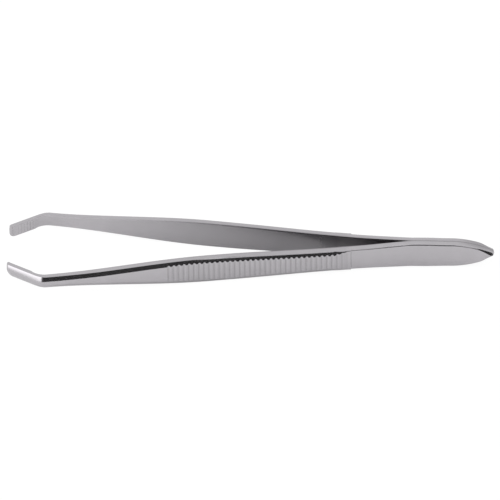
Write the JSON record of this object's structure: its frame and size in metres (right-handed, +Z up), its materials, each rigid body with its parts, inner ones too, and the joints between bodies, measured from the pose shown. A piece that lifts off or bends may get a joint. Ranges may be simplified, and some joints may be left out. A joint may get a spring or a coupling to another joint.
{
  "type": "tweezers",
  "caption": "Surgical tweezers with bent toothed jaws, ribbed thumb grips and two sprung steel arms welded at the butt.",
  "frame": {"origin": "under the middle of the part, on the surface that its lower edges lie on, half way between the tips and the butt end and between the two arms", "axes": "+X from the tips to the welded butt end, Y across the opening with left_arm at -Y, +Z up the width of the arms"},
  "size_m": [0.125, 0.0272, 0.0076],
  "materials": {
    "steel": "fine satin, with polished bevels"
  },
  "bodies": {
    "root": {"left_arm": "steel", "right_arm": "steel"}
  },
  "joints": []
}
